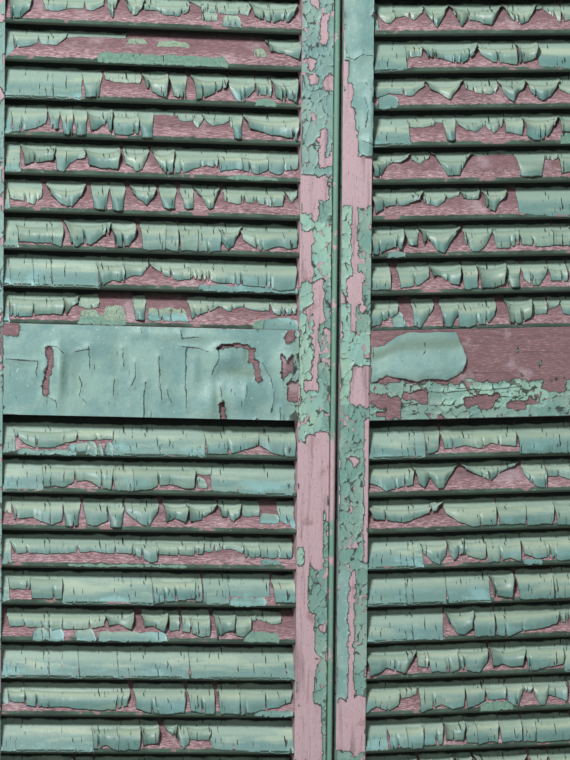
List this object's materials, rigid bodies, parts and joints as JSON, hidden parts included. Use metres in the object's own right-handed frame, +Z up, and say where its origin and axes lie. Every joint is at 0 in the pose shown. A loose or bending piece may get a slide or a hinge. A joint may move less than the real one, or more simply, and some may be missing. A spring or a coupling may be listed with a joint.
{
  "type": "louvred shutters",
  "caption": "Pair of old wooden louvred shutter leaves, hinged in a plain rebated frame, with fixed slats above and below a middle rail.",
  "frame": {"origin": "middle of the four fixing holes, on the back face of the frame", "axes": "+Z up, +X to the right seen from outside, +Y inwards through the wall opening"},
  "size_m": [1.104, 0.0745, 1.406],
  "materials": {
    "old_wood": "weathered bare wood, pinkish and dry",
    "old_paint": "old blue-green paint, cracked and peeling",
    "old_iron": "dull, lightly rusted"
  },
  "bodies": {
    "frame": {"frame_head": "old_paint", "frame_sill": "old_paint", "frame_jamb_left": "old_paint", "frame_jamb_right": "old_paint", "frame_hinge_plates": "old_iron", "hinge_pins": "old_iron", "strike_plates": "old_iron"},
    "left_leaf": {"left_hinge_stile": "old_wood", "left_meeting_stile": "old_wood", "left_top_rail": "old_wood", "left_mid_rail": "old_wood", "left_bottom_rail": "old_wood", "left_slat_01": "old_wood", "left_slat_02": "old_wood", "left_slat_03": "old_wood", "left_slat_04": "old_wood", "left_slat_05": "old_wood", "left_slat_06": "old_wood", "left_slat_07": "old_wood", "left_slat_08": "old_wood", "left_slat_09": "old_wood", "left_slat_10": "old_wood", "left_slat_11": "old_wood", "left_slat_12": "old_wood", "left_slat_13": "old_wood", "left_slat_14": "old_wood", "left_slat_15": "old_wood", "left_slat_16": "old_wood", "left_slat_17": "old_wood", "left_slat_18": "old_wood", "left_slat_19": "old_wood", "left_hinge_plates": "old_iron", "bolt_cases": "old_iron"},
    "right_leaf": {"right_hinge_stile": "old_wood", "right_meeting_stile": "old_wood", "right_top_rail": "old_wood", "right_mid_rail": "old_wood", "right_bottom_rail": "old_wood", "right_slat_01": "old_wood", "right_slat_02": "old_wood", "right_slat_03": "old_wood", "right_slat_04": "old_wood", "right_slat_05": "old_wood", "right_slat_06": "old_wood", "right_slat_07": "old_wood", "right_slat_08": "old_wood", "right_slat_09": "old_wood", "right_slat_10": "old_wood", "right_slat_11": "old_wood", "right_slat_12": "old_wood", "right_slat_13": "old_wood", "right_slat_14": "old_wood", "right_slat_15": "old_wood", "right_slat_16": "old_wood", "right_slat_17": "old_wood", "right_slat_18": "old_wood", "right_slat_19": "old_wood", "right_hinge_plates": "old_iron"},
    "top_bolt": {"top_bolt_rod": "old_iron"},
    "bottom_bolt": {"bottom_bolt_rod": "old_iron"}
  },
  "joints": [
    {"name": "left_leaf_swing", "type": "hinge", "parent": "frame", "child": "left_leaf", "pos_m": [-0.5025, -0.069, 0], "axis": [0, 0, -1], "range_deg": [0, 180]},
    {"name": "right_leaf_swing", "type": "hinge", "parent": "frame", "child": "right_leaf", "pos_m": [0.5025, -0.069, 0], "axis": [0, 0, 1], "range_deg": [0, 180]},
    {"name": "top_bolt_slide", "type": "slide", "parent": "left_leaf", "child": "top_bolt", "axis": [0, 0, 1], "range_m": [0, 0.018]},
    {"name": "bottom_bolt_slide", "type": "slide", "parent": "left_leaf", "child": "bottom_bolt", "axis": [0, 0, -1], "range_m": [0, 0.018]}
  ],
  "couplings": [
    {"joint": "right_leaf_swing", "follows": "left_leaf_swing", "ratio": 1}
  ]
}
